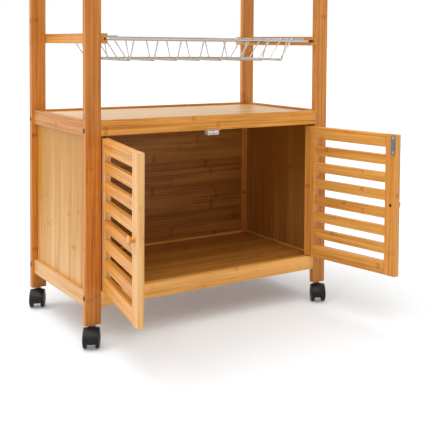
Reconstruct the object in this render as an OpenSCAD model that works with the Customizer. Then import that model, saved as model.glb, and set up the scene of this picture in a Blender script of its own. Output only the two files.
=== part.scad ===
// Serving cart: a bamboo kitchen trolley on four twin-wheel casters.
// Below, a cabinet with two slatted doors; above it a framed shelf, a chrome wire basket
// that slides on two grooved runners, and a worktop on the tops of the four posts.
// Millimetres. X runs across the cart, -Y is the front with the doors, Z is up.
// The origin lies on the floor, midway between the four posts.

/* [Cart] */
// Width over the posts
cart_w = 600; // [520:5:680]
// Depth over the posts
cart_d = 325; // [290:5:420]
// Height of the worktop above the floor
cart_h = 870; // [820:5:960]

/* [Posts] */
// Width of a post, seen from the front
post_w = 33; // [28:1:40]
// Thickness of a post, front to back
post_t = 15; // [14.5:0.5:20]
// Length of post that shows below the bottom rails
post_foot = 33.5; // [33:0.5:45]
// Radius that eases the long edges of posts, rails and stiles
edge_r = 1.2; // [0.5:0.1:2]

/* [Rails] */
// Height of a rail
rail_h = 31.5; // [28:0.5:40]
// Thickness of a rail
rail_t = 15; // [14:0.5:16]
// Distance of the side rails from the outer sides of the posts
side_inset = 5; // [3:1:9]
// Length of the stub tenon at each end of a side rail
tenon_l = 3.5; // [2:0.5:3.5]
// Shoulder left round a side rail's tenon
tenon_shoulder = 5; // [4.5:0.5:6]

/* [Cabinet] */
// Clear height between the bottom rails and the top rails
cabinet_h = 309.5; // [250:0.5:340]
// Thickness of the shelf board and of the floor board
board_t = 10; // [8:0.5:12]
// Thickness of the tongue round the edges of both boards
tongue_t = 6; // [4:0.5:7]
// Distance of the shelf and the floor below the top edges of their rails
board_drop = 4.5; // [4.4:0.1:7]
// Thickness of the side panels and of the back panel
panel_t = 5; // [3:0.5:6]
// Depth of the grooves that hold boards and panels
groove_d = 4; // [2.5:0.5:4]
// Distance of a side panel from the outer face of its rails
panel_inset = 8; // [5:0.5:8]
// Play between a board, panel or tenon and its groove or mortise
joint_gap = 0.1; // [0.05:0.05:0.2]

/* [Worktop] */
// Thickness of the worktop board
worktop_t = 15; // [12:1:20]
// Overhang of the worktop board beyond the posts
worktop_over = 12; // [5:1:20]
// Radius of the worktop's vertical corners
worktop_corner_r = 8; // [4:1:20]
// Radius that eases the worktop's upper and lower edges
worktop_edge_r = 2.5; // [1:0.5:3.5]

/* [Connecting screws] */
// Diameter of a screw's shank
screw_d = 6; // [5:0.5:6.5]
// Length of a screw under its head
screw_l = 62; // [55:1:80]
// Diameter of a screw's head
screw_head_d = 11.5; // [9:0.5:12.5]
// Thickness of a screw's head
screw_head_t = 2.6; // [2:0.2:4]
// Width of the hexagon socket in a screw's head
screw_key = 4; // [3:0.5:5]
// Depth of the hexagon socket in a screw's head
screw_key_depth = 1.8; // [1:0.2:1.9]
// Distance of the cabinet's screws from the middle of their rails, towards the cabinet
screw_rise = 4.5; // [0:0.5:5]

/* [Doors] */
// Angle at which both doors stand open
door_open = 100; // [0:1:104]
// Thickness of a door
door_t = 14; // [12:0.5:14]
// Distance of a closed door behind the front of the posts
door_inset = 0.5; // [0:0.1:0.9]
// Gap between a closed door and its post
door_side_gap = 3; // [3:0.5:5]
// Gap between the two closed doors
door_mid_gap = 2; // [1.5:0.5:4]
// Gap between a door and the bottom rail
door_low_gap = 1.6; // [1.4:0.1:3]
// Gap between a door and the top rail
door_top_gap = 4; // [2:0.5:5]
// Width of a door's stiles
stile_w = 30; // [26:1:36]
// Height of a door's top and bottom rails
door_rail_h = 28; // [22:1:34]
// Height of a slat
slat_h = 21.5; // [18:0.5:24]
// Thickness of a slat
slat_t = 11; // [8:0.5:12]
// Number of slats in a door
slat_count = 6; // [4:1:6]
// Length of the tenons on slats and door rails
slat_tenon_l = 8; // [5:0.5:9]
// Thickness of the tenons on slats and door rails
slat_tenon_t = 6; // [4:0.5:7]
// Shoulder above and below each of these tenons
slat_shoulder = 3; // [2:0.5:4]

/* [Hinge pins] */
// Diameter of a hinge pin
pin_d = 5; // [4:0.5:6]
// Distance of the pin's axis from the door's hinge edge
pin_edge = 7.5; // [7:0.1:7.5]
// Length of the pin inside the door
pin_in_door = 9; // [6:0.5:14]
// Length of the pin inside the rail
pin_in_rail = 5; // [4:0.5:6]
// Diameter of the collar between door and rail
collar_d = 9; // [8:0.5:11]
// Thickness of the collar between door and rail
collar_t = 1.2; // [0.8:0.1:1.3]
// Radial running clearance of a pin in its door
pin_play = 0.05; // [0.02:0.01:0.1]

/* [Knobs] */
// Diameter of a knob's front rim
knob_d = 17; // [13:0.5:20]
// Diameter of a knob's neck
knob_neck_d = 10; // [8:0.5:12]
// Distance of the neck from the door
knob_neck_z = 3; // [2:0.5:5]
// Length of a knob
knob_l = 13; // [10:0.5:20]
// Radius of the flare between neck and rim
knob_flare_r = 9; // [6:0.5:12]
// Radius of the domed front
knob_dome_r = 26; // [16:1:40]
// Distance of the knob's axis from the free edge of the door
knob_edge = 15; // [12:0.5:18]
// Diameter of the hole for the knob's screw
knob_hole_d = 3.6; // [3:0.1:4.5]
// Diameter of the recess for the head of the knob's screw
knob_recess_d = 7.5; // [6:0.5:9]
// Depth of this recess in the inner face of the door
knob_recess_h = 3; // [1:0.5:5]
// Depth of the screw's hole in the knob
knob_bore_l = 9; // [6:0.5:9]

/* [Magnetic catch] */
// Width of the strike plates on the doors
strike_w = 11; // [8:0.5:12]
// Length of the strike plates
strike_l = 42; // [34:1:60]
// Thickness of the strike plates
strike_t = 1; // [0.6:0.1:1.2]
// Distance of a strike plate from the free edge of its door
strike_edge = 4; // [2:0.5:6]
// Distance of a strike plate from the top of its door
strike_top = 2; // [1:0.5:4]
// Width of the catch's housing
catch_w = 28; // [26:1:40]
// Height of the catch's housing below the top rail
catch_h = 12.5; // [10:0.5:16]
// Depth of the catch's housing, front to back
catch_l = 13; // [10:0.5:18]
// Gap between a closed door's strike plate and the catch
catch_gap = 0.4; // [0.3:0.1:0.6]
// Height of the catch's flange on the back of the rail
flange_h = 12; // [8:0.5:15]
// Thickness of the flange
flange_t = 2; // [1.5:0.1:3]
// Width over the flange's two screw ears
flange_w = 44; // [40:1:60]
// Reach of the flange below the top rail
flange_low = 2.5; // [1:0.5:5]

/* [Basket runners] */
// Height of the middle of the runners above the framed shelf
runner_rise = 161.5; // [130:0.5:200]
// Height of a runner
runner_h = 20.5; // [18:0.5:26]
// Thickness of a runner
runner_t = 13; // [11:0.5:15]
// Depth of the groove in a runner
runner_groove_d = 7.5; // [6:0.5:8]
// Free way between the ring and the closed back end of the groove
groove_stop_gap = 1; // [0.5:0.5:4]

/* [Wire basket] */
// Diameter of the ring that slides in the runners
ring_d = 5; // [4:0.5:6]
// Diameter of the upper rim
rim_d = 4.5; // [4:0.5:5]
// Diameter of the cross wires
wire_d = 3; // [2.5:0.1:3.5]
// Vertical play of the ring in the groove
ring_play = 0.6; // [0.5:0.1:0.8]
// Distance of the ring's front rod behind the front of the posts
ring_front = 7; // [5:0.5:10]
// Distance of the ring's back rod from the back of the posts
ring_back = 35; // [25:1:60]
// Radius of the ring's corners
ring_corner_r = 12; // [10:1:16]
// Distance of the upper rim inside the faces of the runners
rim_inset = 23; // [18:1:35]
// Radius of the upper rim's back corners
rim_corner_r = 14; // [10:1:20]
// Depth of the basket under the ring
basket_depth = 44.5; // [30:0.5:60]
// Lean of the basket's side walls from upright
side_lean = 35; // [10:1:40]
// Lean of the basket's front and back walls from upright
end_lean = 24; // [10:1:35]
// Radius of the bends in the cross wires
wire_bend_r = 6; // [5:0.5:10]
// Number of wires that run front to back
long_wires = 8; // [5:1:12]
// Number of wires that run side to side
side_wires = 6; // [4:1:8]
// Gap left at the welds between wires
weld_gap = 0.1; // [0.05:0.05:0.2]

/* [Casters] */
// Height of a caster, from the floor to the post
caster_h = 44; // [43:0.5:60]
// Turn of the casters about their stems; at 0 the wheels trail straight to the back
caster_turn = 152; // [0:1:180]
// Diameter of a wheel
wheel_d = 38; // [32:0.5:39]
// Width of one wheel
wheel_w = 9; // [8:0.5:12]
// Radius of a wheel's domed outer side
wheel_dome_r = 75; // [50:5:150]
// Radius of the outer edge of a wheel's tread
wheel_edge_r = 3; // [1:0.5:4]
// Diameter of the fine groove round the face of a wheel
wheel_ring_d = 27; // [20:1:28]
// Thickness of a wheel's rim
wheel_rim = 4; // [3:0.5:5]
// Depth of the hollow between a wheel's rim and its hub
wheel_hollow = 4; // [2:0.5:5]
// Distance of the axle behind the stem
caster_trail = 12; // [9:0.5:14]
// Width of the hood's web between the wheels
web_w = 17; // [15:0.5:20]
// Gap between a wheel and the web
wheel_gap = 0.5; // [0.3:0.1:1]
// Gap between a wheel's tread and the hood
tread_gap = 0.8; // [0.6:0.1:1.2]
// Wall of the hood at its side edges
hood_wall = 1.6; // [1.4:0.1:2]
// Rise of the hood's crown in the middle above its side edges
hood_crown = 1.6; // [0.6:0.1:2]
// Width of the hood over the wheels
hood_w = 31; // [26:0.5:34]
// Reach of the hood below the middle of the axle
hood_drop = 5; // [4.5:0.5:9]
// Diameter of the axle
axle_d = 6; // [5:0.5:8]
// Diameter of the stem
stem_d = 7; // [6:0.5:8]
// Length of the stem inside the post
stem_in_post = 28; // [20:1:30]
// Length of stem that shows between the hood's neck and the post
stem_show = 3.6; // [2.5:0.1:4]
// Width of the slope round the top of the neck
neck_slope = 2; // [1:0.5:3]
// Diameter of the collar under the post
stem_collar_d = 9.5; // [9:0.5:12]
// Thickness of the collar under the post
stem_collar_t = 1.2; // [0.8:0.1:1.6]
// Radial running clearance of the stem and of the wheels
run_play = 0.05; // [0.02:0.01:0.1]

/* [Hidden] */
$fn = 48;
// Cuts run this far past a face, so that they leave no skin
over = 0.5;
// Thickness of the wheel that stays closed in front of the axle
wheel_cap = 2;
// Angle about the axle at which the fender ends in front, from straight down by way of the back
fender_end = 235;
// Radial clearance of a screw in its hole, and of a pin, axle or stem that is pressed in
screw_gap = 0.1;
press_gap = 0.02;
// Clearance of the ring above the floor of its groove
slide_gap = 0.1;
// A bend is this much thicker than the straight wire, which runs this far into it
bend_swell = 0.02;
bend_lap = 0.2;

half_w = cart_w/2;
half_d = cart_d/2;
post_x = half_w - post_w/2;
post_y = half_d - post_t/2;
inner_x = half_w - post_w;
inner_y = half_d - post_t;
low_rail_z = caster_h + post_foot;
cabinet_z = low_rail_z + rail_h;
top_rail_z = cabinet_z + cabinet_h;
shelf_z = top_rail_z + rail_h;
worktop_z = cart_h - worktop_t;
worktop_rail_z = worktop_z - rail_h;
side_rail_x = half_w - side_inset - rail_t/2;
rail_y = half_d - rail_t/2;
rail_back_y = -half_d + rail_t;
side_panel_x = half_w - side_inset - panel_inset - panel_t/2;
frame_levels = [low_rail_z, top_rail_z, worktop_rail_z];
screw_heights = [low_rail_z + rail_h/2 + screw_rise, top_rail_z + rail_h/2 - screw_rise,
                 worktop_rail_z + rail_h/2];

door_w = inner_x - door_side_gap - door_mid_gap/2;
door_z = cabinet_z + door_low_gap;
door_top_z = top_rail_z - door_top_gap;
door_h = door_top_z - door_z;
pin_x = inner_x - door_side_gap - pin_edge;
pin_y = half_d - door_inset - door_t/2;
hinge_edge_x = -pin_x - pin_edge;
free_edge_x = hinge_edge_x + door_w;
bar_l = door_w - 2*stile_w;
slat_gap = (door_h - 2*door_rail_h - slat_count*slat_h)/(slat_count + 1);
slat_pitch = slat_h + slat_gap;
first_slat_z = door_z + door_rail_h + slat_gap;
strike_back_y = -half_d + door_inset + door_t + strike_t;

catch_front_y = strike_back_y + catch_gap;
catch_z = top_rail_z - catch_h/2 - joint_gap;
flange_z = top_rail_z + flange_h/2 - flange_low;
ear_x = (flange_w - flange_h)/2;
magnet_w = catch_w/2 - 4.5;
magnet_h = catch_h - 5;
magnet_l = catch_l - 3;

runner_z = shelf_z + runner_rise;
runner_face = inner_x - runner_t;
ring_z = runner_z - ring_play/2 + slide_gap;
ring_x = runner_face + runner_groove_d - ring_d/2 - 0.5;
ring_front_y = -half_d + ring_front;
ring_back_y = half_d - ring_back;
groove_end_y = ring_back_y + ring_d/2 + groove_stop_gap;
rim_z = ring_z + ring_d/2 + rim_d/2 + weld_gap;
rim_x = runner_face - rim_inset;

// Distance between a rod's axis and the top end of a wire that leans against the rod
function weld_offset(rod_d, lean) =
  (rod_d/2 + wire_d/2 + weld_gap)/cos(lean) - rod_d/2*tan(lean);

long_top_z = ring_z + ring_d/2;
long_wire_z = ring_z - basket_depth;
long_top_front_y = ring_front_y + weld_offset(ring_d, end_lean);
long_top_back_y = ring_back_y - weld_offset(ring_d, end_lean);
long_low_front_y = long_top_front_y + (long_top_z - long_wire_z)*tan(end_lean);
long_low_back_y = long_top_back_y - (long_top_z - long_wire_z)*tan(end_lean);
side_top_z = rim_z + rim_d/2;
side_wire_z = long_wire_z + wire_d + weld_gap;
side_top_x = rim_x - weld_offset(rim_d, side_lean);
floor_x = side_top_x - (side_top_z - side_wire_z)*tan(side_lean);
side_front_y = long_low_front_y + wire_bend_r + wire_d;
side_back_y = long_low_back_y - wire_bend_r - wire_d;
long_span = 2*(floor_x - wire_d);

axle_z = wheel_d/2;
wheel_x = web_w/2 + wheel_gap;
wheel_edge_drop = wheel_dome_r - sqrt(pow(wheel_dome_r, 2) - pow(wheel_d/2 - wheel_edge_r, 2));
hood_r = wheel_d/2 + tread_gap;
hood_top_r = hood_r + hood_wall + hood_crown;
hood_low = axle_z - hood_drop;
crown_r = (pow(hood_w/2, 2) + pow(hood_crown, 2))/(2*hood_crown);
neck_top_z = caster_h - stem_show;
stem_low_z = axle_z + 7;
caster_spots = [[-1, -1], [1, -1], [-1, 1], [1, 1]];

bamboo = "burlywood";
bamboo_dark = "peru";
bamboo_panel = "wheat";

// Shared shapes

// Rectangle on its middle, with round corners
module eased(w, h, r) {
  square([w - 2*r, h], center = true);
  square([w, h - 2*r], center = true);
  for (x = [-1, 1], y = [-1, 1])
    translate([x*(w/2 - r), y*(h/2 - r)]) circle(r);
}

// Laths with eased long edges, each centred on its length and section
module lath_x(l, t, h) {
  rotate([90, 0, 90]) linear_extrude(l, center = true) eased(t, h, edge_r);
}

module lath_y(l, t, h) {
  rotate([90, 0, 0]) linear_extrude(l, center = true) eased(t, h, edge_r);
}

module lath_z(l, w, t) {
  linear_extrude(l, center = true) eased(w, t, edge_r);
}

module block(x, y, z) {
  cube([x, y, z], center = true);
}

// Posts

// Cuts for the tenons, screws, panels and stem of the post in corner sx, sy
module post_cuts(sx, sy) {
  for (z = frame_levels)
    translate([sx*side_rail_x, sy*(inner_y + tenon_l/2), z + rail_h/2])
      block(rail_t - 2*tenon_shoulder + 2*joint_gap, tenon_l + 2*joint_gap,
            rail_h - 2*tenon_shoulder + 2*joint_gap);
  for (z = screw_heights)
    translate([sx*half_w, sy*post_y, z]) rotate([0, -sx*90, 0]) {
      cylinder(d = screw_d + 2*screw_gap, h = post_w + over);
      translate([0, 0, -over])
        cylinder(d = screw_head_d + 2*screw_gap, h = screw_head_t + over + screw_gap);
    }
  translate([sx*side_panel_x, sy*(inner_y + groove_d/2), cabinet_z + cabinet_h/2])
    block(panel_t + 2*joint_gap, groove_d + 2*joint_gap, cabinet_h + 2*groove_d);
  if (sy > 0)
    translate([sx*(inner_x + groove_d/2), rail_y, cabinet_z + cabinet_h/2])
      block(groove_d + 2*joint_gap, panel_t + 2*joint_gap, cabinet_h + 2*groove_d);
  translate([sx*post_x, sy*post_y, caster_h - over])
    cylinder(d = stem_d + 2*press_gap, h = stem_in_post + over + joint_gap);
}

module post(sx, sy) {
  color(bamboo_dark) difference() {
    translate([sx*post_x, sy*post_y, (caster_h + worktop_z)/2])
      lath_z(worktop_z - caster_h, post_w, post_t);
    post_cuts(sx, sy);
  }
}

// Rails

// Hole for one screw in each end of a front or back rail
module rail_screw_holes(sy, z) {
  for (sx = [-1, 1])
    translate([sx*(inner_x + over), sy*post_y, z]) rotate([0, -sx*90, 0])
      cylinder(d = screw_d + 2*screw_gap, h = screw_l + screw_head_t - post_w + over + 1);
}

// Grooves along the inner faces of the rails, for a board with its middle at height z
module board_groove_x(sy, z) {
  translate([0, sy*(half_d - rail_t + groove_d/2), z])
    block(cart_w, groove_d + 2*joint_gap, tongue_t + 2*joint_gap);
}

module board_groove_y(sx, z) {
  translate([sx*(side_rail_x - rail_t/2 + groove_d/2), 0, z])
    block(groove_d + 2*joint_gap, cart_d, tongue_t + 2*joint_gap);
}

// Front rail for sy = -1 and back rail for sy = 1, on frame level 0, 1 or 2
module long_rail(sy, level) {
  z = frame_levels[level];
  color(bamboo) difference() {
    translate([0, sy*rail_y, z + rail_h/2]) lath_x(2*inner_x, rail_t, rail_h);
    rail_screw_holes(sy, screw_heights[level]);
    if (level < 2) board_groove_x(sy, z + rail_h - board_drop - board_t/2);
    if (level < 2 && sy > 0)
      translate([0, rail_y, level == 0 ? cabinet_z : top_rail_z])
        block(cart_w, panel_t + 2*joint_gap, 2*groove_d + 2*joint_gap);
    if (level < 2 && sy < 0) pin_holes(press_gap);
  }
}

// Left rail for sx = -1 and right rail for sx = 1
module side_rail(sx, level) {
  z = frame_levels[level];
  color(bamboo) difference() {
    translate([sx*side_rail_x, 0, z + rail_h/2]) {
      lath_y(2*inner_y, rail_t, rail_h);
      block(rail_t - 2*tenon_shoulder, 2*(inner_y + tenon_l), rail_h - 2*tenon_shoulder);
    }
    if (level < 2) board_groove_y(sx, z + rail_h - board_drop - board_t/2);
    if (level < 2)
      translate([sx*side_panel_x, 0, level == 0 ? cabinet_z : top_rail_z])
        block(panel_t + 2*joint_gap, cart_d, 2*groove_d + 2*joint_gap);
  }
}

module worktop_rails() {
  long_rail(-1, 2);
  long_rail(1, 2);
  side_rail(-1, 2);
  side_rail(1, 2);
}

// Boards and panels

// Outline that passes the inner faces of four rails by reach and stays clear of the posts
module board_outline(reach) {
  square([2*(side_rail_x - rail_t/2 + reach), 2*inner_y - 2*joint_gap], center = true);
  square([2*inner_x - 2*joint_gap, 2*(half_d - rail_t + reach)], center = true);
}

// Board between four rails, with a tongue all round that stands in their grooves
module framed_board(top) {
  color(bamboo_panel) translate([0, 0, top - board_t]) {
    linear_extrude(board_t) board_outline(-joint_gap);
    translate([0, 0, (board_t - tongue_t)/2]) linear_extrude(tongue_t) board_outline(groove_d);
  }
}

module side_panel(sx) {
  color(bamboo_panel)
    translate([sx*side_panel_x, 0, cabinet_z + cabinet_h/2]) {
      block(panel_t, 2*(inner_y + groove_d), cabinet_h - 2*joint_gap);
      block(panel_t, 2*inner_y - 2*joint_gap, cabinet_h + 2*groove_d);
    }
}

module back_panel() {
  color(bamboo_panel)
    translate([0, rail_y, cabinet_z + cabinet_h/2]) {
      block(2*(inner_x + groove_d), panel_t, cabinet_h - 2*joint_gap);
      block(2*inner_x - 2*joint_gap, panel_t, cabinet_h + 2*groove_d);
    }
}

// Board with round corners, its upper and lower edges eased all round
module worktop_board() {
  w = cart_w + 2*worktop_over;
  d = cart_d + 2*worktop_over;
  r = worktop_corner_r;
  color(bamboo_panel) translate([0, 0, worktop_z + worktop_t/2]) {
    rotate([90, 0, 90]) linear_extrude(w - 2*r, center = true)
      eased(d, worktop_t, worktop_edge_r);
    rotate([90, 0, 0]) linear_extrude(d - 2*r, center = true)
      eased(w, worktop_t, worktop_edge_r);
    for (x = [-1, 1], y = [-1, 1])
      translate([x*(w/2 - r), y*(d/2 - r), 0]) rotate_extrude() intersection() {
        eased(2*r, worktop_t, worktop_edge_r);
        translate([0, -worktop_t/2]) square([r, worktop_t]);
      }
  }
}

// Connecting screws

// Screw along +Z, from the outer face of its head
module screw() {
  difference() {
    union() {
      cylinder(d = screw_head_d, h = screw_head_t);
      cylinder(d = screw_d, h = screw_l + screw_head_t);
    }
    translate([0, 0, -over])
      cylinder(d = screw_key/cos(30), h = screw_key_depth + over, $fn = 6);
  }
}

// Heads in the outer sides of the posts, shanks through the posts into the rails' ends
module frame_screws() {
  color("darkslategray")
    for (z = screw_heights, sx = [-1, 1], sy = [-1, 1])
      translate([sx*half_w, sy*post_y, z]) rotate([0, -sx*90, 0]) screw();
}

// Basket runners

// Grooved lath inside the posts; the groove is open in front and closed at the back
module runner(sx) {
  groove_l = groove_end_y + half_d + over;
  color(bamboo) difference() {
    translate([sx*(runner_face + runner_t/2), 0, runner_z])
      lath_y(cart_d, runner_t, runner_h);
    translate([sx*(runner_face + runner_groove_d/2), groove_end_y - groove_l/2, runner_z])
      block(runner_groove_d + 2*joint_gap, groove_l, ring_d + ring_play);
  }
}

// Wire basket

// Bend of a wire that arrives along +X at the origin and turns by turn degrees
module bend(d, r, turn) {
  s = turn > 0 ? 1 : -1;
  translate([0, s*r, 0]) rotate([0, 0, turn > 0 ? -90 : 90 + turn])
    rotate_extrude(angle = abs(turn)) translate([r, 0]) circle(d = d + 2*bend_swell);
}

// Length that a bend takes off each of the two stretches that it joins
function bend_cut(r, turn) = r*tan(abs(turn)/2);

function heading(p, q) = atan2(q[1] - p[1], q[0] - p[0]);

function turn_at(pts, i) =
  let (t = heading(pts[i], pts[i + 1]) - heading(pts[i - 1], pts[i]))
    t > 180 ? t - 360 : t < -180 ? t + 360 : t;

// Wire of diameter d through the points pts of the XY plane, with bends of radius r
module flat_wire(pts, d, r) {
  n = len(pts);
  for (i = [0 : n - 2]) {
    full = norm(pts[i + 1] - pts[i]);
    from = i == 0 ? 0 : bend_cut(r, turn_at(pts, i)) - bend_lap;
    to = i == n - 2 ? full : full - bend_cut(r, turn_at(pts, i + 1));
    translate([pts[i][0], pts[i][1], 0]) rotate([0, 0, heading(pts[i], pts[i + 1])]) {
      translate([from, 0, 0]) rotate([0, 90, 0])
        cylinder(d = d, h = to - from + (i == n - 2 ? 0 : bend_lap));
      if (i < n - 2)
        translate([to, 0, 0]) bend(d, r, turn_at(pts, i + 1));
    }
  }
}

// Closed ring that slides in the grooves of the runners
module basket_ring() {
  x = ring_x;
  y0 = ring_front_y;
  y1 = ring_back_y;
  color("silver") translate([0, 0, ring_z])
    flat_wire([[x, 0], [x, y1], [-x, y1], [-x, y0], [x, y0], [x, 0]], ring_d, ring_corner_r);
}

// Upper rim round the sides and the back, lying on the ring's front and back rods
module basket_rim() {
  y0 = ring_front_y - rim_d/2;
  color("silver") translate([0, 0, rim_z])
    flat_wire([[-rim_x, y0], [-rim_x, ring_back_y], [rim_x, ring_back_y], [rim_x, y0]],
              rim_d, rim_corner_r);
}

// Wires from the front rod down under the floor and up to the back rod
module basket_long_wires() {
  color("silver")
    for (i = [0 : long_wires - 1])
      translate([-long_span/2 + i*long_span/(long_wires - 1), 0, 0])
        rotate([90, 0, 90])
          flat_wire([[long_top_front_y, long_top_z], [long_low_front_y, long_wire_z],
                     [long_low_back_y, long_wire_z], [long_top_back_y, long_top_z]],
                    wire_d, wire_bend_r);
}

// Wires from one side of the rim down across the floor and up to the other side
module basket_side_wires() {
  color("silver")
    for (i = [0 : side_wires - 1])
      translate([0, side_front_y + i*(side_back_y - side_front_y)/(side_wires - 1), 0])
        rotate([90, 0, 0])
          flat_wire([[-side_top_x, side_top_z], [-floor_x, side_wire_z],
                     [floor_x, side_wire_z], [side_top_x, side_top_z]],
                    wire_d, wire_bend_r);
}

// Doors

// Holes on both pin axes, wider than the pins by gap all round
module pin_holes(gap) {
  for (sx = [-1, 1])
    translate([sx*pin_x, -pin_y, 0]) {
      translate([0, 0, cabinet_z - pin_in_rail - joint_gap])
        cylinder(d = pin_d + 2*gap, h = pin_in_rail + door_low_gap + pin_in_door + 2*joint_gap);
      translate([0, 0, door_top_z - pin_in_door - joint_gap])
        cylinder(d = pin_d + 2*gap, h = pin_in_rail + door_top_gap + pin_in_door + 2*joint_gap);
    }
}

module hinge_pins() {
  color("lightgray")
    for (sx = [-1, 1])
      translate([sx*pin_x, -pin_y, 0]) {
        translate([0, 0, cabinet_z - pin_in_rail])
          cylinder(d = pin_d, h = pin_in_rail + door_low_gap + pin_in_door);
        translate([0, 0, cabinet_z]) cylinder(d = collar_d, h = collar_t);
        translate([0, 0, door_top_z - pin_in_door])
          cylinder(d = pin_d, h = pin_in_rail + door_top_gap + pin_in_door);
        translate([0, 0, top_rail_z - collar_t]) cylinder(d = collar_d, h = collar_t);
      }
}

// Stands the left door's pieces at the door's angle, mirrored for the right door
module on_door(side) {
  mirror([side > 0 ? 1 : 0, 0, 0])
    translate([-pin_x, -pin_y, 0]) rotate([0, 0, -door_open]) translate([pin_x, pin_y, 0])
      children();
}

// Tenons of a slat or door rail of height h, longer and thicker by gap all round
module bar_tenons(h, gap) {
  block(bar_l + 2*slat_tenon_l + 2*gap, slat_tenon_t + 2*gap, h - 2*slat_shoulder + 2*gap);
}

// Places a child at the middle of every slat, with the slat's height in $bar_h
module at_slats() {
  $bar_h = slat_h;
  for (i = [0 : slat_count - 1])
    translate([hinge_edge_x + door_w/2, -pin_y, first_slat_z + i*slat_pitch + slat_h/2])
      children();
}

// Places a child at the middle of the door's top and bottom rails
module at_door_rails() {
  $bar_h = door_rail_h;
  for (z = [door_z + door_rail_h/2, door_top_z - door_rail_h/2])
    translate([hinge_edge_x + door_w/2, -pin_y, z]) children();
}

module stile(x) {
  difference() {
    translate([x, -pin_y, door_z + door_h/2]) lath_z(door_h, stile_w, door_t);
    at_slats() bar_tenons($bar_h, joint_gap);
    at_door_rails() bar_tenons($bar_h, joint_gap);
    pin_holes(pin_play);
  }
}

module hinge_stile(side) {
  color(bamboo_dark) on_door(side) stile(hinge_edge_x + stile_w/2);
}

// Places a child at the knob's foot, with Z out of the front of the door
module at_knob() {
  translate([free_edge_x - knob_edge, -half_d + door_inset, door_z + door_h/2])
    rotate([90, 0, 0]) children();
}

// Stile with the recessed hole through which the knob is screwed on
module free_stile(side) {
  color(bamboo_dark) on_door(side) difference() {
    stile(free_edge_x - stile_w/2);
    at_knob() translate([0, 0, -door_t - over]) {
      cylinder(d = knob_hole_d, h = door_t + 2*over);
      cylinder(d = knob_recess_d, h = knob_recess_h + over);
    }
  }
}

module door_rail(side, z) {
  color(bamboo) on_door(side)
    translate([hinge_edge_x + door_w/2, -pin_y, z]) {
      lath_x(bar_l, door_t, door_rail_h);
      bar_tenons(door_rail_h, 0);
    }
}

module slats(side) {
  color(bamboo) on_door(side) at_slats() {
    lath_x(bar_l, slat_t, slat_h);
    bar_tenons(slat_h, 0);
  }
}

// Turned knob, one revolved outline: narrow neck, flare, and a domed front
module knob(side) {
  color(bamboo_dark) on_door(side) at_knob() difference() {
    rotate_extrude() intersection() {
      difference() {
        square([knob_d/2, knob_l]);
        translate([knob_neck_d/2 + knob_flare_r, knob_neck_z]) circle(knob_flare_r);
      }
      translate([0, knob_l - knob_dome_r]) circle(knob_dome_r);
    }
    translate([0, 0, -over]) cylinder(d = knob_hole_d, h = knob_bore_l + over);
  }
}

// Stadium plate with two screw holes, on the inner face of the door's free stile
module strike(side) {
  color("silver") on_door(side)
    translate([free_edge_x - strike_edge - strike_w/2, strike_back_y,
               door_top_z - strike_top - strike_l/2])
      rotate([90, 0, 0]) linear_extrude(strike_t) difference() {
        union() {
          square([strike_w, strike_l - strike_w], center = true);
          for (s = [-1, 1]) translate([0, s*(strike_l - strike_w)/2]) circle(d = strike_w);
        }
        for (s = [-1, 1]) translate([0, s*(strike_l - strike_w)/2]) circle(d = 3.6);
      }
}

// Magnetic catch

// Places a child behind the rail, at the middle of each of the flange's screw ears
module at_ears() {
  for (s = [-1, 1])
    translate([s*ear_x, rail_back_y + joint_gap, flange_z]) rotate([-90, 0, 0]) children();
}

// Moulded housing with two pockets in front and a flange on the back of the rail
module catch_body() {
  color("white") difference() {
    union() {
      translate([0, catch_front_y + catch_l/2, catch_z]) block(catch_w, catch_l, catch_h);
      translate([0, rail_back_y + joint_gap + flange_t/2, flange_z])
        block(2*ear_x, flange_t, flange_h);
      at_ears() cylinder(d = flange_h, h = flange_t);
    }
    at_ears() translate([0, 0, -over]) cylinder(d = 3.4, h = flange_t + 2*over);
    for (s = [-1, 1])
      translate([s*(magnet_w/2 + 1.5), catch_front_y + magnet_l/2, catch_z])
        block(magnet_w + 2*joint_gap, magnet_l + 2*joint_gap, magnet_h + 2*joint_gap);
  }
}

// Two steel-faced magnets, let into the front of the housing
module catch_magnets() {
  color("gray")
    for (s = [-1, 1])
      translate([s*(magnet_w/2 + 1.5), catch_front_y + magnet_l/2, catch_z])
        block(magnet_w, magnet_l, magnet_h);
}

// Casters

// Stands a caster's pieces under the post in corner s, turned about the stem
module at_caster(s) {
  translate([s[0]*post_x, s[1]*post_y, 0]) rotate([0, 0, caster_turn]) children();
}

// Lays its child's Z axis along the axle of a caster
module on_axle() {
  translate([0, caster_trail, axle_z]) rotate([0, 90, 0]) children();
}

// Steel stem with its collar, fixed in the post and running in the hood
module caster_stems() {
  color("lightgray")
    for (s = caster_spots) at_caster(s) {
      translate([0, 0, stem_low_z])
        cylinder(d = stem_d, h = caster_h + stem_in_post - stem_low_z);
      translate([0, 0, caster_h - stem_collar_t])
        cylinder(d = stem_collar_d, h = stem_collar_t);
    }
}

// Section of the hood's fender, straight above the wheels' treads and crowned outside
module fender_section() {
  intersection() {
    translate([hood_r, -hood_w/2]) square([hood_wall + hood_crown, hood_w]);
    translate([hood_top_r - crown_r, 0]) circle(crown_r);
  }
}

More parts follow.
